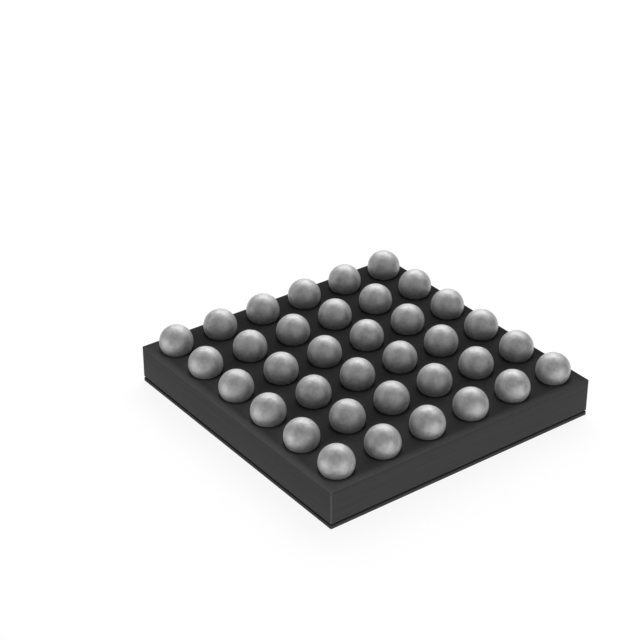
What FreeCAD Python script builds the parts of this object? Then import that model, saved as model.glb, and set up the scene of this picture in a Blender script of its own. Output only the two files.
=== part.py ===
import FreeCAD, Part
import math
import os
from FreeCAD import Vector

# A wafer-level ball grid array chip, lying on its back film with the solder balls up.
# The origin is the middle of the film's outer face, and +Z points the way the balls do.
# All sizes are in millimetres. Everything but the balls is a stack of flat layers.

# The ball grid, which sets the size of the sawn package round it
balls_per_side = 6
ball_pitch = 0.400
ball_centre_to_edge = 0.190
ball_standoff = 0.200

# The flats round each ball and the bands up it, which keep within 0.003 mm of a sphere
ball_flats = 16
ball_bands = 6

# The copper pad that each ball is melted onto, and how far it stands out of the face
pad_diameter = 0.225
pad_rise = 0.005

# The layers, from the back up
film_thickness = 0.025
adhesive_thickness = 0.016
adhesive_setback = 0.020
die_thickness = 0.240
lower_dielectric_thickness = 0.007
copper_thickness = 0.005
dielectric_over_copper = 0.005

# The nick that the saw leaves on the four upright corners
corner_bevel = 0.006

# The copper that carries each ball's signal to the die's own pads
landing_margin = 0.010
trace_width = 0.025
via_side = 0.030
via_land_margin = 0.010
via_land_edge_gap = 0.035

# Sizes that follow from the ones above
package_side = (balls_per_side - 1) * ball_pitch + 2 * ball_centre_to_edge
pad_radius = pad_diameter / 2
landing_radius = pad_radius + landing_margin
via_land_side = via_side + 2 * via_land_margin
edge_via_row = package_side / 2 - via_land_edge_gap - via_land_side / 2

# Levels of the faces where one layer ends and the next begins
film_top = film_thickness
adhesive_top = film_top + adhesive_thickness
die_top = adhesive_top + die_thickness
lower_dielectric_top = die_top + lower_dielectric_thickness
copper_top = lower_dielectric_top + copper_thickness
ball_face = copper_top + dielectric_over_copper
pad_top = ball_face + pad_rise
ball_top = ball_face + ball_standoff


def grid_place(index):
    """Distance from the middle of the grid to a row or column, counted from the low side."""
    return (index - (balls_per_side - 1) / 2) * ball_pitch


def prism(corners, bottom, height):
    """A flat outline in X and Y, raised from one level."""
    points = [Vector(x, y, bottom) for x, y in corners]
    return Part.Face(Part.makePolygon(points + points[:1])).extrude(Vector(0, 0, height))


def square(centre, side, bottom, height):
    """A small upright block with a square plan."""
    x, y = centre
    half = side / 2
    corners = [(x - half, y - half), (x + half, y - half), (x + half, y + half), (x - half, y + half)]
    return prism(corners, bottom, height)


def sawn_plate(bottom, height, setback=0.0):
    """A plate with the outline of the package, its corners nicked by the saw."""
    half = package_side / 2 - setback
    near = half - corner_bevel
    corners = [(half, near), (near, half), (-near, half), (-half, near)]
    corners += [(-x, -y) for x, y in corners]
    return prism(corners, bottom, height)


def ring(centre, radius, flats):
    """The corners of a regular outline whose flats touch a circle of the radius from outside."""
    x, y = centre
    reach = radius / math.cos(math.pi / flats)
    angles = [(step + 0.5) * 2 * math.pi / flats for step in range(flats)]
    return [(x + reach * math.cos(angle), y + reach * math.sin(angle)) for angle in angles]


def octagon(centre, radius, bottom, height):
    """An upright block with an eight-sided plan that just holds a circle of the radius."""
    return prism(ring(centre, radius, 8), bottom, height)


def strip(points, width, bottom, height):
    """A flat conductor of constant width along a path, mitred where it turns."""
    path = [Vector(x, y, 0) for x, y in points]
    runs = [(end - start).normalize() for start, end in zip(path, path[1:])]
    left, right = [], []
    for place, point in enumerate(path):
        before = runs[max(place - 1, 0)]
        after = runs[min(place, len(runs) - 1)]
        across = (before + after).normalize()
        side = Vector(-across.y, across.x, 0) * (width / 2 / before.dot(across))
        left.append((point.x + side.x, point.y + side.y))
        right.append((point.x - side.x, point.y - side.y))
    return prism(left + right[::-1], bottom, height)


def front_routes():
    """Paths from ball to die for the balls whose signals leave by the front edge.

    The four edges share the balls like a pinwheel, so that turning these paths a quarter
    at a time serves the rest. Balls of the outer ring go straight out. Those of the second
    ring pass between two outer balls. Any ball further in drops to the die beside itself.
    """
    routes = []
    for depth in range(balls_per_side // 2):
        y = grid_place(depth)
        for column in range(depth, balls_per_side - 1 - depth):
            x = grid_place(column)
            if depth == 0:
                routes.append([(x, y), (x, -edge_via_row)])
            elif depth == 1:
                towards = -1 if x < 0 else 1
                lane = x + towards * ball_pitch / 2
                routes.append([(x, y), (lane, y - ball_pitch / 2), (lane, -edge_via_row)])
            else:
                routes.append([(x, y), (x - ball_pitch / 2, y - ball_pitch / 2)])
    return routes


def all_routes():
    """The paths of every ball, by quarter turns of the front ones."""
    routes = []
    for quarter in range(4):
        for path in front_routes():
            for turn in range(quarter):
                path = [(-y, x) for x, y in path]
            routes.append(path)
    if balls_per_side % 2:
        routes.append([(0, 0), (-ball_pitch / 2, -ball_pitch / 2)])
    return routes


def via(path):
    """The square foot at the end of a path, which goes down through the lower dielectric."""
    return square(path[-1], via_side, die_top, lower_dielectric_thickness)


def flat_copper(path):
    """The copper that lies on the lower dielectric: a landing, a trace and the via's land."""
    landing = octagon(path[0], landing_radius, lower_dielectric_top, copper_thickness)
    trace = strip(path, trace_width, lower_dielectric_top, copper_thickness)
    land = square(path[-1], via_land_side, lower_dielectric_top, copper_thickness)
    return landing.fuse([trace, land]).removeSplitter()


def solder_ball(centre):
    """A ball of solder, melted onto its pad: a sphere in flats, cut off by the pad."""
    height = ball_top - pad_top
    radius = (height ** 2 + pad_radius ** 2) / (2 * height)
    middle = ball_top - radius
    foot_angle = math.asin((pad_top - middle) / radius)
    rings = []
    for band in range(ball_bands):
        angle = foot_angle + (math.pi / 2 - foot_angle) * band / ball_bands
        level = middle + radius * math.sin(angle)
        corners = ring(centre, radius * math.cos(angle), ball_flats)
        rings.append([Vector(x, y, level) for x, y in corners])
    outlines = [rings[0]]
    for lower, upper in zip(rings, rings[1:]):
        for here in range(ball_flats):
            after = (here + 1) % ball_flats
            outlines.append([lower[here], lower[after], upper[after], upper[here]])
    peak = Vector(centre[0], centre[1], ball_top)
    for here in range(ball_flats):
        outlines.append([rings[-1][here], rings[-1][(here + 1) % ball_flats], peak])
    faces = [Part.Face(Part.makePolygon(outline + outline[:1])) for outline in outlines]
    return Part.makeSolid(Part.makeShell(faces))


def save(name, shape):
    shape.exportStep(f"parts/{name}.step")
    print(name, len(shape.Solids), "solids", round(shape.Volume, 6), "mm3", shape.isValid())


os.makedirs("parts", exist_ok=True)
places = [grid_place(index) for index in range(balls_per_side)]
routes = all_routes()

# The back: a protective film on its glue line, which stops short of the sawn sides
save("backside_film", sawn_plate(0, film_thickness))
save("film_adhesive", sawn_plate(film_top, adhesive_thickness, adhesive_setback))
save("silicon_die", sawn_plate(adhesive_top, die_thickness))

# The copper between two layers of dielectric
vias = [via(path) for path in routes]
coppers = [flat_copper(path) for path in routes]
nets = [copper.fuse(foot) for copper, foot in zip(coppers, vias)]
save("lower_dielectric", sawn_plate(die_top, lower_dielectric_thickness).cut(vias))
save("redistribution_traces", Part.makeCompound(nets))

# The pads, which fill the openings in the upper dielectric and stand out of it
pads = [octagon((x, y), pad_radius, copper_top, pad_top - copper_top) for y in places for x in places]
upper_layer = sawn_plate(lower_dielectric_top, ball_face - lower_dielectric_top)
save("upper_dielectric", upper_layer.cut(coppers).cut(pads))
save("under_bump_pads", Part.makeCompound(pads))

# The solder balls, lettered by row from the back and numbered from the right
for letter, y in zip("abcdefghijklmnop", reversed(places)):
    for number, x in enumerate(reversed(places), 1):
        save(f"ball_{letter}{number}", solder_ball((x, y)))
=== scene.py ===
import math

import bmesh
import bpy
from mathutils import Matrix, Vector, noise


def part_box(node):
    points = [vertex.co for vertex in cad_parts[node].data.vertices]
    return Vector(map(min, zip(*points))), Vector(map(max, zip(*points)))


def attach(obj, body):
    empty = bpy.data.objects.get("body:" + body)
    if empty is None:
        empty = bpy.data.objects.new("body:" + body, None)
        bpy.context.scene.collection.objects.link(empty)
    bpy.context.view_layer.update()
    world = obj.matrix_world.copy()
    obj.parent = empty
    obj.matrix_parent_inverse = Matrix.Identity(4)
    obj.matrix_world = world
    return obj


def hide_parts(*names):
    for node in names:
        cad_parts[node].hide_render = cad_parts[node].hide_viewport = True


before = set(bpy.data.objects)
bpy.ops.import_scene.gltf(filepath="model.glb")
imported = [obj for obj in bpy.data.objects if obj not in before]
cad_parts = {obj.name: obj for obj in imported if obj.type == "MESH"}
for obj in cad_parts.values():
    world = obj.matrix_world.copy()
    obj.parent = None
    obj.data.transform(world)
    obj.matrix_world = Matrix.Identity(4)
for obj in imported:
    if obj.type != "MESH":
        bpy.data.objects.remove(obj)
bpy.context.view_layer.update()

# A wafer-level ball grid array chip, lying on its back film with the solder balls up. Lengths from the
# CAD are in metres, as Blender's are. Those written out here are in millimetres, and angles in degrees.
mm = 0.001
print("frame loaded,", len(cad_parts), "CAD nodes")

# What the CAD says of the chip, the balls and the pads
dieLow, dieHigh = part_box("silicon_die")
chipSide = dieHigh.x - dieLow.x
ballNames = sorted(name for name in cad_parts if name.startswith("ball_"))
ballBoxes = [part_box(name) for name in ballNames]
ballColumns = [((low + high) / 2).x for low, high in ballBoxes]
perSide = round(math.sqrt(len(ballNames)))
pitch = (max(ballColumns) - min(ballColumns)) / (perSide - 1)
padLow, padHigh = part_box("under_bump_pads")
footRadius = padHigh.x - max(ballColumns)
footLevel = ballBoxes[0][0].z
ballHeight = ballBoxes[0][1].z - footLevel
ballRadius = (ballHeight ** 2 + footRadius ** 2) / (2 * ballHeight)  # the sphere that the pad cuts off
ballCentreLevel = footLevel + ballHeight - ballRadius

# Shared settings: how fine each noise goes, the span it seldom leaves, and where an edge is shown sharp
octaves = {"mottle": 3.0, "cloud": 4.0, "waver": 2.0, "grain": 2.0}
noiseSpan = (0.3, 0.7)
sharpDegrees = {"ball": 50, "layer": 40}

# A Mix node's sockets for colours, which share their names with others
mixFirst, mixSecond, mixResult = 6, 7, 2


# An sRGB hex code, as the linear colour that shaders take
def linearColour(hexCode):
    levels = [int(hexCode[start:start + 2], 16) / 255 for start in (1, 3, 5)]
    linear = [level / 12.92 if level <= 0.04045 else ((level + 0.055) / 1.055) ** 2.4 for level in levels]
    return (*linear, 1.0)


def perFeature(size):
    return 1 / (size * mm)  # a texture's scale for features of that many millimetres


# Adds a node: inputs that are sockets are linked, other inputs are set as values
def addNode(tree, kind, inputs=None, **settings):
    node = tree.nodes.new(kind)
    for name, value in settings.items():
        setattr(node, name, value)
    for socket, value in (inputs or {}).items():
        if isinstance(value, bpy.types.NodeSocket):
            tree.links.new(value, node.inputs[socket])
        else:
            node.inputs[socket].default_value = value
    return node


def newMaterial(name):
    material = bpy.data.materials.new(name)
    material.use_nodes = True
    material.node_tree.nodes.clear()
    return material, material.node_tree


# A soft mix of two colours that follows a noise, for finishes that are nearly even
def mottle(tree, place, settings):
    clouds = addNode(tree, "ShaderNodeTexNoise", {
        "Vector": place, "Scale": perFeature(settings["mottleSize"]), "Detail": octaves["mottle"]})
    spread = addNode(tree, "ShaderNodeMapRange", {
        "Value": clouds.outputs["Fac"], "From Min": noiseSpan[0], "From Max": noiseSpan[1]})
    return addNode(tree, "ShaderNodeMix", {
        "Factor": spread.outputs["Result"], mixFirst: linearColour(settings["dark"]),
        mixSecond: linearColour(settings["light"])}, data_type="RGBA").outputs[mixResult]


# A tint that comes in while a length goes from one value to another, both in millimetres
def tintedBetween(tree, colour, hexCode, length, none, full):
    mask = addNode(tree, "ShaderNodeMapRange", {
        "Value": length, "From Min": none * mm, "From Max": full * mm}).outputs["Result"]
    return addNode(tree, "ShaderNodeMix", {
        "Factor": mask, mixFirst: colour, mixSecond: linearColour(hexCode)},
        data_type="RGBA").outputs[mixResult]


# A place on the chip, told from the middle of the ball that it is nearest to
def fromBallCentre(tree, place):
    shift = (perSide * pitch / 2, perSide * pitch / 2, -ballCentreLevel)
    shifted = addNode(tree, "ShaderNodeVectorMath", {0: place, 1: shift}, operation="ADD")
    cell = addNode(tree, "ShaderNodeVectorMath", {
        0: shifted.outputs["Vector"], 1: (pitch, pitch, 1.0), 2: (0.0, 0.0, -1.0)}, operation="WRAP")
    return addNode(tree, "ShaderNodeVectorMath", {
        0: cell.outputs["Vector"], 1: (pitch / 2, pitch / 2, 0.0)}, operation="SUBTRACT").outputs["Vector"]


# Painted reflections: rings and arcs of light and dark tone round fixed directions on each ball, most
# of them facing the front, from 0, dark, to 1, light
def paintedReflectionRings(tree, place, settings):
    outward = addNode(tree, "ShaderNodeVectorMath", {
        0: fromBallCentre(tree, place)}, operation="NORMALIZE").outputs["Vector"]
    uneven = addNode(tree, "ShaderNodeTexNoise", {
        "Vector": place, "Scale": perFeature(settings["waverSize"]), "Detail": octaves["waver"]})
    swing = math.radians(settings["waver"]) / 2
    shift = addNode(tree, "ShaderNodeMapRange", {
        "Value": uneven.outputs["Fac"], "To Min": -swing, "To Max": swing}).outputs["Result"]
    total = settings["tone"] - len(settings["reflectionCentres"]) / 2  # a ring of tone 0.5 changes nothing
    for reflectionCentre, rings in settings["reflectionCentres"]:
        nearness = addNode(tree, "ShaderNodeVectorMath", {
            0: outward, 1: Vector(reflectionCentre).normalized()}, operation="DOT_PRODUCT").outputs["Value"]
        angle = addNode(tree, "ShaderNodeMath", {0: nearness}, operation="ARCCOSINE").outputs[0]
        wavering = addNode(tree, "ShaderNodeMath", {0: angle, 1: shift}, operation="ADD").outputs[0]
        halfTurns = addNode(tree, "ShaderNodeMath", {
            0: wavering, 1: math.pi}, operation="DIVIDE").outputs[0]
        ramp = addNode(tree, "ShaderNodeValToRGB", {"Fac": halfTurns})
        stops = ramp.color_ramp.elements
        while len(stops) < len(rings):
            stops.new(1.0)
        for stop, (degrees, tone) in zip(stops, rings):
            stop.position = degrees / 180
            stop.color = (tone, tone, tone, 1.0)
        total = addNode(tree, "ShaderNodeMath", {
            0: total, 1: ramp.outputs["Color"]}, operation="ADD").outputs[0]
    return total


# Solder: painted reflection rings and a fine cloud in the tone, and shallow dents and a grain that soften
# the highlight
def meltedSolder(settings):
    material, tree = newMaterial("meltedSolder")
    place = addNode(tree, "ShaderNodeTexCoord").outputs["Object"]
    cloud = addNode(tree, "ShaderNodeTexNoise", {
        "Vector": place, "Scale": perFeature(settings["cloudSize"]),
        "Detail": octaves["cloud"]}).outputs["Fac"]
    cloudy = addNode(tree, "ShaderNodeMapRange", {
        "Value": cloud, "To Min": -settings["cloudiness"] / 2, "To Max": settings["cloudiness"] / 2})
    tone = addNode(tree, "ShaderNodeMath", {
        0: paintedReflectionRings(tree, place, settings), 1: cloudy.outputs["Result"]}, operation="ADD").outputs[0]
    colour = addNode(tree, "ShaderNodeMix", {
        "Factor": tone, mixFirst: linearColour(settings["dark"]),
        mixSecond: linearColour(settings["light"])}, data_type="RGBA").outputs[mixResult]
    dents = addNode(tree, "ShaderNodeBump", {
        "Height": cloud, "Strength": 1.0, "Distance": settings["dentDepth"] * mm})
    grain = addNode(tree, "ShaderNodeTexNoise", {
        "Vector": place, "Scale": perFeature(settings["grainSize"]), "Detail": octaves["grain"]})
    bump = addNode(tree, "ShaderNodeBump", {
        "Height": grain.outputs["Fac"], "Strength": 1.0, "Distance": settings["grainHeight"] * mm,
        "Normal": dents.outputs["Normal"]})
    shader = addNode(tree, "ShaderNodeBsdfPrincipled", {
        "Base Color": colour, "Metallic": settings["metallic"], "Roughness": settings["roughness"],
        "Normal": bump.outputs["Normal"]})
    addNode(tree, "ShaderNodeOutputMaterial", {"Surface": shader.outputs["BSDF"]})
    return material


# Copper, with a slight mottle from the plating bath
def platedCopper(name, settings):
    material, tree = newMaterial(name)
    place = addNode(tree, "ShaderNodeTexCoord").outputs["Object"]
    shader = addNode(tree, "ShaderNodeBsdfPrincipled", {
        "Base Color": mottle(tree, place, settings), "Metallic": 1.0, "Roughness": settings["roughness"]})
    addNode(tree, "ShaderNodeOutputMaterial", {"Surface": shader.outputs["BSDF"]})
    return material


# Painted highlight: the four upright corners painted lighter, down their rounded edges
def paintedCornerHighlight(tree, place, colour, settings):
    apart = addNode(tree, "ShaderNodeVectorMath", {0: place}, operation="ABSOLUTE").outputs["Vector"]
    across = addNode(tree, "ShaderNodeVectorMath", {
        0: apart, 1: (1.0, 1.0, 0.0)}, operation="DOT_PRODUCT").outputs["Value"]
    corner, width = chipSide / mm, settings["highlightWidth"]
    return tintedBetween(tree, colour, settings["edgeWearAndHighlight"], across, corner - 2 * width, corner - width)


# Painted shade: the coat's rim and upright edge painted darker than its top, to the tone of the die below
# it
def paintedRimShade(tree, place, colour, settings):
    apart = addNode(tree, "ShaderNodeVectorMath", {0: place}, operation="ABSOLUTE").outputs["Vector"]
    spot = addNode(tree, "ShaderNodeSeparateXYZ", {0: apart}).outputs
    reach = addNode(tree, "ShaderNodeMath", {0: spot["X"], 1: spot["Y"]}, operation="MAXIMUM").outputs[0]
    edge, width = chipSide / 2 / mm, settings["rimWidth"]
    return tintedBetween(tree, colour, settings["rim"], reach, edge - 2 * width, edge - width)


# Painted shadow: the coat painted darker round the foot of each ball
def paintedFootShadow(tree, place, colour, settings):
    flat = addNode(tree, "ShaderNodeVectorMath", {
        0: fromBallCentre(tree, place), 1: (1.0, 1.0, 0.0)}, operation="MULTIPLY").outputs["Vector"]
    distance = addNode(tree, "ShaderNodeVectorMath", {0: flat}, operation="LENGTH").outputs["Value"]
    foot = footRadius / mm
    return tintedBetween(tree, colour, settings["footShadow"], distance, foot + settings["footShadowWidth"], foot)


# A dark finish with a fine grain, for the layers that are sawn, cured or set
def darkFinish(name, settings):
    material, tree = newMaterial(name)
    place = addNode(tree, "ShaderNodeTexCoord").outputs["Object"]
    stretched = addNode(tree, "ShaderNodeMapping", {
        "Vector": place, "Scale": settings["stretch"]}).outputs["Vector"]
    colour = mottle(tree, stretched, settings)
    # painted highlight down the upright corners
    if "edgeWearAndHighlight" in settings:
        colour = paintedCornerHighlight(tree, place, colour, settings)
    if "footShadow" in settings:
        # painted shadow round the foot of each ball
        colour = paintedFootShadow(tree, place, colour, settings)
    # painted shade on the coat's rim and upright edge
    if "rim" in settings:
        colour = paintedRimShade(tree, place, colour, settings)
    grain = addNode(tree, "ShaderNodeTexNoise", {
        "Vector": stretched, "Scale": perFeature(settings["grainSize"]), "Detail": octaves["grain"]})
    bump = addNode(tree, "ShaderNodeBump", {
        "Height": grain.outputs["Fac"], "Strength": 1.0, "Distance": settings["grainHeight"] * mm})
    shader = addNode(tree, "ShaderNodeBsdfPrincipled", {
        "Base Color": colour, "Roughness": settings["roughness"], "IOR": settings["ior"],
        "Specular IOR Level": settings["specular"], "Normal": bump.outputs["Normal"]})
    addNode(tree, "ShaderNodeOutputMaterial", {"Surface": shader.outputs["BSDF"]})
    return material


# Turns a node tree into a plain mesh object, with its sizes given by the names of the tree's inputs
def meshFromTree(name, tree, sizes):
    piece = bpy.data.objects.new(name, bpy.data.meshes.new(name))
    bpy.context.collection.objects.link(piece)
    modifier = piece.modifiers.new(tree.name, "NODES")
    modifier.node_group = tree
    for socket in tree.interface.items_tree:
        if socket.in_out == "INPUT":
            modifier[socket.identifier] = sizes[socket.name]
    depsgraph = bpy.context.evaluated_depsgraph_get()
    shape = bpy.data.meshes.new_from_object(piece.evaluated_get(depsgraph), depsgraph=depsgraph)
    piece.modifiers.remove(modifier)
    piece.data = shape
    return piece


# A tree with one input for each size, whole numbers where the size is one
def newTree(name, sizes):
    tree = bpy.data.node_groups.new(name, "GeometryNodeTree")
    tree.interface.new_socket("Geometry", in_out="OUTPUT", socket_type="NodeSocketGeometry")
    for label, value in sizes.items():
        kind = "NodeSocketInt" if isinstance(value, int) else "NodeSocketFloat"
        tree.interface.new_socket(label, in_out="INPUT", socket_type=kind)
    return tree, addNode(tree, "NodeGroupInput").outputs


# Repeats a shape over the square grid of balls
def onGrid(tree, sizes, shape):
    gaps = addNode(tree, "ShaderNodeMath", {0: sizes["Per Side"], 1: 1.0}, operation="SUBTRACT").outputs[0]
    reach = addNode(tree, "ShaderNodeMath", {0: sizes["Pitch"], 1: gaps}, operation="MULTIPLY").outputs[0]
    grid = addNode(tree, "GeometryNodeMeshGrid", {
        "Size X": reach, "Size Y": reach,
        "Vertices X": sizes["Per Side"], "Vertices Y": sizes["Per Side"]})
    repeated = addNode(tree, "GeometryNodeInstanceOnPoints", {
        "Points": grid.outputs["Mesh"], "Instance": shape})
    return addNode(tree, "GeometryNodeRealizeInstances", {
        "Geometry": repeated.outputs["Instances"]}).outputs["Geometry"]


def endTree(tree, shape, material):
    real = addNode(tree, "GeometryNodeRealizeInstances", {"Geometry": shape})
    painted = addNode(tree, "GeometryNodeSetMaterial", {
        "Geometry": real.outputs["Geometry"], "Material": material})
    addNode(tree, "NodeGroupOutput", {"Geometry": painted.outputs["Geometry"]})


def applyModifiers(piece):
    depsgraph = bpy.context.evaluated_depsgraph_get()
    shape = bpy.data.meshes.new_from_object(
        piece.evaluated_get(depsgraph), preserve_all_data_layers=True, depsgraph=depsgraph)
    piece.modifiers.clear()
    piece.data = shape


# Lets the large flat faces set the shading at the edges, as on a real flat part
def evenShading(piece):
    piece.data.shade_smooth()
    piece.data.set_sharp_from_angle(angle=math.radians(sharpDegrees["layer"]))
    weighted = piece.modifiers.new("evenShading", "WEIGHTED_NORMAL")
    weighted.keep_sharp = True
    applyModifiers(piece)


# The 36 balls. Tin-silver-copper solder, melted onto the pads and frozen in air: satin grey and a
# little cloudy, with a broad soft highlight. Its tone also has painted reflections: rings of light and
# dark round fixed directions, as (degrees from the direction, tone).
# The real grain is finer, and is drawn coarse enough to show.
solderLook = {
    "dark": "#a2a3a2",
    "light": "#c2c2c2",
    "metallic": 0.7,
    "roughness": 0.55,
    "tone": 0.5,  # from 0, dark, to 1, light
    # painted reflections: each fixed direction, with its rings of light and dark tone
    "reflectionCentres": [
        ((-1.0, -1.0, 1.0),
         [(0, 0.7), (21, 0.62), (25, 0.8), (33, 0.78), (46, 0.55), (58, 0.4), (67, 0.75), (85, 0.6)]),
        ((-0.73, -0.66, 0.19),
         [(0, 0.4), (15, 0.4), (26, 0.63), (34, 0.65), (40, 0.57), (46, 0.47), (54, 0.4), (60, 0.42),
          (66, 0.68), (72, 0.76), (80, 0.65), (95, 0.5)]),
        ((0.18, -0.92, 0.35),
         [(0, 0.2), (7, 0.27), (14, 0.5), (21, 0.65), (26, 0.65), (34, 0.52), (46, 0.42), (56, 0.4),
          (66, 0.5)]),
    ],
    "waver": 16.0,  # how far the rings wander, in degrees
    "waverSize": 0.06,
    "cloudSize": 0.03,
    "cloudiness": 1.6,
    "dentDepth": 0.0016,
    "grainSize": 0.012,
    "grainHeight": 0.0003,
}
ballSizes = {  # in metres, and the angle in radians
    "Per Side": perSide,
    "Pitch": pitch,
    "Radius": ballRadius,
    "Foot Angle": math.asin((ballRadius - ballHeight) / ballRadius),
    "Centre Level": ballCentreLevel,
    "Segments": 64,
    "Rings": 32,
    "Merge Distance": 1e-8,
}


# Each ball is a tube of unit size, whose height becomes the angle up a sphere, from the foot to the top
def ballGridTree(material):
    tree, sizes = newTree("solderBallGrid", ballSizes)
    tube = addNode(tree, "GeometryNodeMeshCylinder", {
        "Vertices": sizes["Segments"], "Side Segments": sizes["Rings"], "Radius": 1.0, "Depth": 1.0})
    spot = addNode(tree, "GeometryNodeInputPosition").outputs["Position"]
    height = addNode(tree, "ShaderNodeSeparateXYZ", {0: spot}).outputs["Z"]
    angle = addNode(tree, "ShaderNodeMapRange", {
        "Value": height, "From Min": -0.5, "From Max": 0.5,
        "To Min": sizes["Foot Angle"], "To Max": math.pi / 2}).outputs["Result"]
    outward = addNode(tree, "ShaderNodeMath", {0: angle}, operation="COSINE").outputs[0]
    upward = addNode(tree, "ShaderNodeMath", {0: angle}, operation="SINE").outputs[0]
    reach = addNode(tree, "ShaderNodeMath", {
        0: sizes["Radius"], 1: outward}, operation="MULTIPLY").outputs[0]
    level = addNode(tree, "ShaderNodeMath", {
        0: sizes["Radius"], 1: upward, 2: sizes["Centre Level"]}, operation="MULTIPLY_ADD").outputs[0]
    stretch = addNode(tree, "ShaderNodeCombineXYZ", {"X": reach, "Y": reach}).outputs["Vector"]
    lift = addNode(tree, "ShaderNodeCombineXYZ", {"Z": level}).outputs["Vector"]
    place = addNode(tree, "ShaderNodeVectorMath", {
        0: spot, 1: stretch, 2: lift}, operation="MULTIPLY_ADD").outputs["Vector"]
    ball = addNode(tree, "GeometryNodeSetPosition", {"Geometry": tube.outputs["Mesh"], "Position": place})
    closed = addNode(tree, "GeometryNodeMergeByDistance", {
        "Geometry": ball.outputs["Geometry"], "Distance": sizes["Merge Distance"]})
    endTree(tree, onGrid(tree, sizes, closed.outputs["Geometry"]), material)
    return tree


balls = meshFromTree("solderBalls", ballGridTree(meltedSolder(solderLook)), ballSizes)
balls.data.shade_smooth()
balls.data.set_sharp_from_angle(angle=math.radians(sharpDegrees["ball"]))
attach(balls, "root")
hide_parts(*ballNames)
print("solder balls made,", len(balls.data.polygons), "faces")

# The round pads under the balls, seated in the openings of the coat. Plated copper, painted nearly black
# as shade: all that shows is a dark line of painted shadow under each ball.
padLook = {"dark": "#2e2825", "light": "#3b3430", "roughness": 0.5, "mottleSize": 0.02}
padSizes = {  # in metres
    "Per Side": perSide,
    "Pitch": pitch,
    "Radius": footRadius,
    "Bottom Level": padLow.z,
    "Height": padHigh.z - padLow.z,
    "Segments": 64,
}


def padGridTree(material):
    tree, sizes = newTree("padGrid", padSizes)
    disc = addNode(tree, "GeometryNodeMeshCylinder", {
        "Vertices": sizes["Segments"], "Radius": sizes["Radius"], "Depth": sizes["Height"]})
    middle = addNode(tree, "ShaderNodeMath", {
        0: sizes["Height"], 1: 0.5, 2: sizes["Bottom Level"]}, operation="MULTIPLY_ADD").outputs[0]
    lift = addNode(tree, "ShaderNodeCombineXYZ", {"Z": middle}).outputs["Vector"]
    lifted = addNode(tree, "GeometryNodeTransform", {
        "Geometry": disc.outputs["Mesh"], "Translation": lift})
    endTree(tree, onGrid(tree, sizes, lifted.outputs["Geometry"]), material)
    return tree


pads = meshFromTree("roundPads", padGridTree(platedCopper("stainedCopper", padLook)), padSizes)
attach(pads, "root")
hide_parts("under_bump_pads")
print("pads made")

# Layers cut through by the saw: square plates with upright corners and rims a little worn and chipped
sawnEdges = {
    "cornerRadius": 0.010,
    "cornerSteps": 5,
    "pointSpacing": 0.02,
    "rimSteps": 4,
}


# Points round a sawn layer, each as a place inside its edge and the direction from there to the edge
def sawnOutline(half):
    inner = half - sawnEdges["cornerRadius"]
    count = round(2 * inner / sawnEdges["pointSpacing"])
    stepAngle = math.pi / 2 / sawnEdges["cornerSteps"]
    side = [(Vector((inner, inner * (2 * step / count - 1))), 0.0) for step in range(count)]
    corner = [(Vector((inner, inner)), step * stepAngle) for step in range(sawnEdges["cornerSteps"])]
    outline = []
    for quarter in range(4):
        turn = Matrix.Rotation(quarter * math.pi / 2, 2)
        for place, angle in side + corner:
            outline.append((turn @ place, turn @ Vector((math.cos(angle), math.sin(angle)))))
    return outline


# How far the rim is rounded off at a place on it: more where a small chip has come away
def rimWear(place, level, wear):
    ripple = noise.noise(Vector((place.x, place.y, level)) / wear["chipLength"])
    return wear["rimRadius"] * (1 + wear["chipping"] * max(ripple, 0.0))


def sawnLayer(name, nodeName, wear, finish):
    low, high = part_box(nodeName)
    outline = sawnOutline(high.x / mm)
    bottom, top = low.z / mm, high.z / mm
    steps = sawnEdges["rimSteps"]
    angles = [math.pi / 2 * step / steps for step in range(steps + 1)]
    rings = [(bottom, 1, angle) for angle in angles] + [(top, -1, angle) for angle in reversed(angles)]
    corners = []
    for level, inwards, angle in rings:
        for place, outward in outline:
            edgeWearAndHighlight = rimWear(place + outward * sawnEdges["cornerRadius"], level, wear)
            reach = sawnEdges["cornerRadius"] - edgeWearAndHighlight * (1 - math.sin(angle))
            spot = place + outward * reach
            corners.append((spot.x, spot.y, level + inwards * edgeWearAndHighlight * (1 - math.cos(angle))))
    count = len(outline)
    faces = [list(range(count))[::-1], [len(corners) - count + here for here in range(count)]]
    for start in range(0, len(corners) - count, count):
        for here in range(count):
            after = (here + 1) % count
            faces.append([start + here, start + after, start + count + after, start + count + here])
    shape = bpy.data.meshes.new(name)
    shape.from_pydata([Vector(corner) * mm for corner in corners], [], faces)
    shape.materials.append(finish)
    piece = bpy.data.objects.new(name, shape)
    bpy.context.collection.objects.link(piece)
    evenShading(piece)
    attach(piece, "root")
    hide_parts(nodeName)


# Resin film, laminated on and cured: an even dull black. Its real filler is finer than the grain here.
filmLook = {
    "dark": "#333333",
    "light": "#383838",
    "roughness": 0.6,
    "ior": 1.5,
    "specular": 0.2,
    "mottleSize": 0.03,
    "grainSize": 0.012,
    "grainHeight": 0.0002,
    "stretch": (1.0, 1.0, 1.0),
}
filmWear = {"rimRadius": 0.0015, "chipping": 0.5, "chipLength": 0.08}
sawnLayer("backFilm", "backside_film", filmWear, darkFinish("curedBackFilm", filmLook))

# Silicon, cut by a diamond saw: matt and nearly black, with faint lines along the cut, and upright corners
# painted paler as a highlight.
# Real saw lines are finer, and these are drawn coarse enough to show.
siliconLook = {
    "dark": "#313131",
    "light": "#363636",
    "roughness": 0.6,
    "ior": 1.5,
    "specular": 0.2,
    "mottleSize": 0.03,
    "grainSize": 0.008,
    "grainHeight": 0.0004,
    "stretch": (0.05, 0.05, 1.0),
    # painted highlight down the upright corners, and its width
    "edgeWearAndHighlight": "#4c4c4c",
    "highlightWidth": 0.006,
}
dieWear = {"rimRadius": 0.0015, "chipping": 2.0, "chipLength": 0.05}
sawnLayer("sawnDie", "silicon_die", dieWear, darkFinish("sawnSilicon", siliconLook))
print("film and die made")
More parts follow.
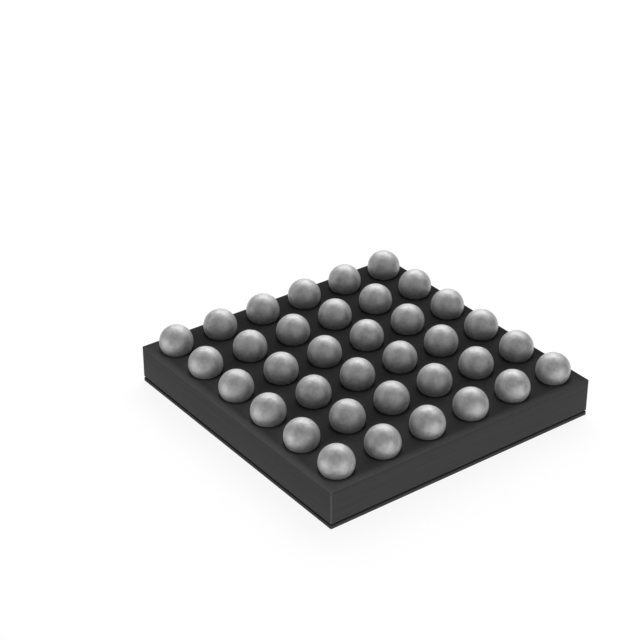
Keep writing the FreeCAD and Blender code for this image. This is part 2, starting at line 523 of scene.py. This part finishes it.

# The coat on the ball side, open round each pad and recessed underneath for the copper. A polymer, spun
# on and cured: smooth and dull, with a painted shadow round the foot of each ball and painted shade on its
# rim and upright edge.
coatLook = {
    "dark": "#474747",
    "light": "#4a4a4a",
    "roughness": 0.6,
    "ior": 1.5,
    "specular": 0.2,
    "mottleSize": 0.03,
    "grainSize": 0.012,
    "grainHeight": 0.0002,
    "stretch": (1.0, 1.0, 1.0),
    # painted shade on the rim and upright edge
    "rim": "#2a2a2a",
    "rimWidth": 0.001,
    # painted shadow round the foot of each ball, and its width
    "footShadow": "#141414",
    "footShadowWidth": 0.03,
}
coatLow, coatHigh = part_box("upper_dielectric")
coatSizes = {  # in millimetres
    "Per Side": perSide,
    "Pitch": pitch / mm,
    "Side": (coatHigh.x - coatLow.x) / mm,
    "Corner Radius": sawnEdges["cornerRadius"],
    "Corner Steps": sawnEdges["cornerSteps"],
    "Bottom Level": coatLow.z / mm,
    "Thickness": (coatHigh.z - coatLow.z) / mm,
    "Opening Radius": footRadius / mm,
    "Segments": 64,
    "Merge Distance": 0.0001,
}
coatRim = {"radius": 0.0015, "steps": 2, "angle": 60}
copperWeld = 0.00001 * mm  # joins the loose triangles of the copper's copy


# The tree works in millimetres, because its filling and the cuts after it are coarse for metres so small
def openedCoatTree(material):
    tree, sizes = newTree("openedCoat", coatSizes)
    square = addNode(tree, "GeometryNodeCurvePrimitiveQuadrilateral", {
        "Width": sizes["Side"], "Height": sizes["Side"]})
    rounded = addNode(tree, "GeometryNodeFilletCurve", {
        "Curve": square.outputs["Curve"], "Count": sizes["Corner Steps"],
        "Radius": sizes["Corner Radius"]}, mode="POLY")
    circle = addNode(tree, "GeometryNodeCurvePrimitiveCircle", {
        "Resolution": sizes["Segments"], "Radius": sizes["Opening Radius"]})
    outlines = addNode(tree, "GeometryNodeJoinGeometry", {"Geometry": rounded.outputs["Curve"]})
    tree.links.new(onGrid(tree, sizes, circle.outputs["Curve"]), outlines.inputs["Geometry"])
    face = addNode(tree, "GeometryNodeFillCurve", {
        "Curve": outlines.outputs["Geometry"]}, mode="TRIANGLES")
    rise = addNode(tree, "ShaderNodeCombineXYZ", {"Z": sizes["Thickness"]}).outputs["Vector"]
    raised = addNode(tree, "GeometryNodeExtrudeMesh", {
        "Mesh": face.outputs["Mesh"], "Offset": rise, "Offset Scale": 1.0, "Individual": False})
    underside = addNode(tree, "GeometryNodeFlipFaces", {"Mesh": face.outputs["Mesh"]})
    both = addNode(tree, "GeometryNodeJoinGeometry", {"Geometry": raised.outputs["Mesh"]})
    tree.links.new(underside.outputs["Mesh"], both.inputs["Geometry"])
    closed = addNode(tree, "GeometryNodeMergeByDistance", {
        "Geometry": both.outputs["Geometry"], "Distance": sizes["Merge Distance"]})
    lift = addNode(tree, "ShaderNodeCombineXYZ", {"Z": sizes["Bottom Level"]}).outputs["Vector"]
    placed = addNode(tree, "GeometryNodeTransform", {
        "Geometry": closed.outputs["Geometry"], "Translation": lift})
    endTree(tree, placed.outputs["Geometry"], material)
    return tree


# A merged copy of a CAD node in millimetres, for cutting with
def cuttingCopy(nodeName):
    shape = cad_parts[nodeName].data.copy()
    merged = bmesh.new()
    merged.from_mesh(shape)
    bmesh.ops.remove_doubles(merged, verts=merged.verts, dist=copperWeld)
    bmesh.ops.scale(merged, verts=merged.verts, vec=(1 / mm, 1 / mm, 1 / mm))
    merged.to_mesh(shape)
    merged.free()
    cutter = bpy.data.objects.new(nodeName + "Copy", shape)
    bpy.context.collection.objects.link(cutter)
    return cutter


def makeCoat(finish):
    piece = meshFromTree("polymerCoat", openedCoatTree(finish), coatSizes)
    rim = piece.modifiers.new("rim", "BEVEL")
    rim.width = coatRim["radius"]
    rim.segments = coatRim["steps"]
    rim.limit_method = "ANGLE"
    rim.angle_limit = math.radians(coatRim["angle"])
    cutter = cuttingCopy("redistribution_traces")
    recess = piece.modifiers.new("copperRecess", "BOOLEAN")
    recess.operation = "DIFFERENCE"
    recess.solver = "MANIFOLD"
    recess.object = cutter
    applyModifiers(piece)
    bpy.data.objects.remove(cutter)
    piece.data.transform(Matrix.Scale(mm, 4))
    evenShading(piece)
    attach(piece, "root")
    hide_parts("upper_dielectric")
    return piece


coatFinish = darkFinish("curedPolymerCoat", coatLook)
polymerCoat = makeCoat(coatFinish)
print("coat made,", len(polymerCoat.data.polygons), "faces")

# The glue line and the layers inside keep their CAD shapes. Set glue is dark, and is painted nearly black,
# the blackest of all, as painted shade in its recessed groove, where hardly any light gets in. Plated
# copper under the coat stays bright and pink.
glueLook = {
    "dark": "#0c0c0c",
    "light": "#121212",
    "roughness": 0.7,
    "ior": 1.5,
    "specular": 0.2,
    "mottleSize": 0.03,
    "grainSize": 0.012,
    "grainHeight": 0.0002,
    "stretch": (1.0, 1.0, 1.0),
}
copperLook = {"dark": "#b07a5c", "light": "#c48c6c", "roughness": 0.4, "mottleSize": 0.02}
layerFinishes = {
    "film_adhesive": darkFinish("setGlueLine", glueLook),
    "lower_dielectric": coatFinish,
    "redistribution_traces": platedCopper("platedCopper", copperLook),
}
for nodeName, finish in layerFinishes.items():
    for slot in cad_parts[nodeName].material_slots:
        slot.material = finish
print("layers finished")

# A plain pale studio: a white floor just under the chip, and a white surround that darkens overhead
studio = {
    "floorRadius": 400.0,
    "floorCorners": 64,
    "floorLevel": -0.002,
    "floorColour": "#e6e6e6",
    "floorGlow": 0.88,
    "floorShade": 0.16,
    "horizon": 1.0,
    "overhead": 0.03,
    "fadeHeight": 0.28,
    "target": (0.0, 0.0, 0.3),
    "lampDistance": 20.0,
}


# The floor glows white to the eye and in reflections, keeps the chip's shadow, and is plain pale otherwise
def makeFloor():
    corners = []
    for corner in range(studio["floorCorners"]):
        angle = corner * 2 * math.pi / studio["floorCorners"]
        away = Vector((math.cos(angle), math.sin(angle), 0.0)) * studio["floorRadius"]
        corners.append((away + Vector((0.0, 0.0, studio["floorLevel"]))) * mm)
    shape = bpy.data.meshes.new("studioFloor")
    shape.from_pydata(corners, [], [list(range(studio["floorCorners"]))])
    floor = bpy.data.objects.new("studioFloor", shape)
    bpy.context.collection.objects.link(floor)
    material, tree = newMaterial("paleFloor")
    path = addNode(tree, "ShaderNodeLightPath").outputs
    seen = addNode(tree, "ShaderNodeMath", {
        0: path["Is Camera Ray"], 1: path["Is Glossy Ray"]}, operation="MAXIMUM").outputs[0]
    seen = addNode(tree, "ShaderNodeMath", {
        0: seen, 1: path["Is Transmission Ray"]}, operation="MAXIMUM").outputs[0]
    lit = addNode(tree, "ShaderNodeBsdfDiffuse", {"Color": linearColour(studio["floorColour"])})
    shade = studio["floorShade"]
    shaded = addNode(tree, "ShaderNodeBsdfDiffuse", {"Color": (shade, shade, shade, 1.0)})
    glow = addNode(tree, "ShaderNodeEmission", {"Strength": studio["floorGlow"]})
    white = addNode(tree, "ShaderNodeAddShader", {0: shaded.outputs["BSDF"], 1: glow.outputs["Emission"]})
    chosen = addNode(tree, "ShaderNodeMixShader", {
        0: seen, 1: lit.outputs["BSDF"], 2: white.outputs["Shader"]})
    addNode(tree, "ShaderNodeOutputMaterial", {"Surface": chosen.outputs["Shader"]})
    shape.materials.append(material)
    return floor


def makeSurround():
    world = bpy.data.worlds.new("paleSurround")
    world.use_nodes = True
    bpy.context.scene.world = world
    tree = world.node_tree
    tree.nodes.clear()
    direction = addNode(tree, "ShaderNodeTexCoord").outputs["Generated"]
    height = addNode(tree, "ShaderNodeSeparateXYZ", {0: direction}).outputs["Z"]
    level = addNode(tree, "ShaderNodeMapRange", {
        "Value": height, "From Min": 0.0, "From Max": studio["fadeHeight"],
        "To Min": studio["horizon"], "To Max": studio["overhead"]}, interpolation_type="SMOOTHSTEP")
    light = addNode(tree, "ShaderNodeBackground", {"Strength": level.outputs["Result"]})
    addNode(tree, "ShaderNodeOutputWorld", {"Surface": light.outputs["Background"]})


# The way from the chip to something round it. Azimuth 0 is towards -Y and 90 towards +X
def wayTo(azimuth, elevation):
    turn, lift = math.radians(azimuth), math.radians(elevation)
    return Vector((math.sin(turn) * math.cos(lift), -math.cos(turn) * math.cos(lift), math.sin(lift)))


# A soft box that looks at the chip and lights only the pieces of its group
def addLamp(name, azimuth, elevation, width, height, radiance, group):
    lamp = bpy.data.lights.new(name, "AREA")
    lamp.shape = "RECTANGLE"
    lamp.size = width * mm
    lamp.size_y = height * mm
    lamp.energy = radiance * math.pi * width * height * mm * mm
    back = wayTo(azimuth, elevation)
    box = bpy.data.objects.new(name, lamp)
    box.location = (Vector(studio["target"]) + back * studio["lampDistance"]) * mm
    box.rotation_euler = back.to_track_quat("Z", "Y").to_euler()
    box.visible_camera = False
    box.light_linking.receiver_collection = group
    bpy.context.collection.objects.link(box)


# Each soft box has its azimuth, elevation, width, height and radiance. The balls and the floor are lit
# mostly from behind and from low down, and the coat, the sides and the pads mostly from the front.
lamps = {
    "ballLight": {
        "keyBox": (143.0, 38.0, 15.0, 14.0, 3.0),
        "sideBox": (105.0, 47.0, 14.0, 14.0, 1.83),
        "backBox": (180.0, 47.0, 14.0, 14.0, 1.27),
        "highRightBox": (83.0, 58.0, 15.0, 12.0, 0.97),
        "farLeftBox": (225.0, 35.0, 12.0, 12.0, 0.56),
        "frontBox": (-37.0, 50.0, 16.0, 14.0, 0.54),
        "leftBox": (266.0, 25.0, 14.0, 8.0, 0.35),
        "rightLowBox": (8.0, 13.0, 12.0, 5.0, 2.61),
        "rightStrip": (8.0, 6.0, 12.0, 4.2, 0.58),
        "leftStrip": (256.0, 6.0, 12.0, 4.2, 3.53),
        "frontStrip": (-37.0, 6.0, 12.0, 4.2, 2.33),
    },
    "coatLight": {
        "coatRightBox": (-11.0, 22.0, 14.0, 8.0, 3.3),
        "coatLeftBox": (278.0, 22.0, 14.0, 8.0, 8.2),
        "coatBackBox": (143.0, 60.0, 14.0, 10.0, 0.8),
        "coatLeftStrip": (262.0, 10.0, 12.0, 5.0, 3.0),
        "coatFrontStrip": (-37.0, 10.0, 12.0, 5.0, 14.0),
    },
    "sideLight": {
        "sideRightBox": (-11.0, 22.0, 14.0, 8.0, 6.7),
        "sideLeftBox": (278.0, 22.0, 14.0, 8.0, 3.0),
    },
}
floor = makeFloor()
makeSurround()
meshPieces = [piece for piece in bpy.data.objects if piece.type == "MESH"]
litPieces = {
    "ballLight": [balls, floor],
    "coatLight": [polymerCoat, pads],
    "sideLight": [piece for piece in meshPieces if piece not in (balls, floor, polymerCoat)],
}
for groupName, pieces in litPieces.items():
    group = bpy.data.collections.new(groupName)
    for piece in pieces:
        group.objects.link(piece)
    for lampName, measures in lamps[groupName].items():
        addLamp(lampName, *measures, group)
print("studio lit")

# The camera stands where the photograph's does
cameraPlace = {
    "aim": (0.1348, 0.7063, 0.298),
    "azimuth": -36.764,
    "elevation": 30.023,
    "distance": 13.887,
    "lens": 100.305,
    "sensor": 36.0,
    "clipStart": 0.5,
    "clipEnd": 1000.0,
}


def makeCamera():
    back = wayTo(cameraPlace["azimuth"], cameraPlace["elevation"])
    lens = bpy.data.cameras.new("camera")
    lens.lens = cameraPlace["lens"]
    lens.sensor_width = cameraPlace["sensor"]
    lens.clip_start = cameraPlace["clipStart"] * mm
    lens.clip_end = cameraPlace["clipEnd"] * mm
    camera = bpy.data.objects.new("camera", lens)
    camera.location = (Vector(cameraPlace["aim"]) + back * cameraPlace["distance"]) * mm
    camera.rotation_euler = back.to_track_quat("Z", "Y").to_euler()
    bpy.context.collection.objects.link(camera)
    bpy.context.scene.camera = camera


makeCamera()
bpy.context.scene.view_settings.view_transform = "Standard"
print("camera placed")
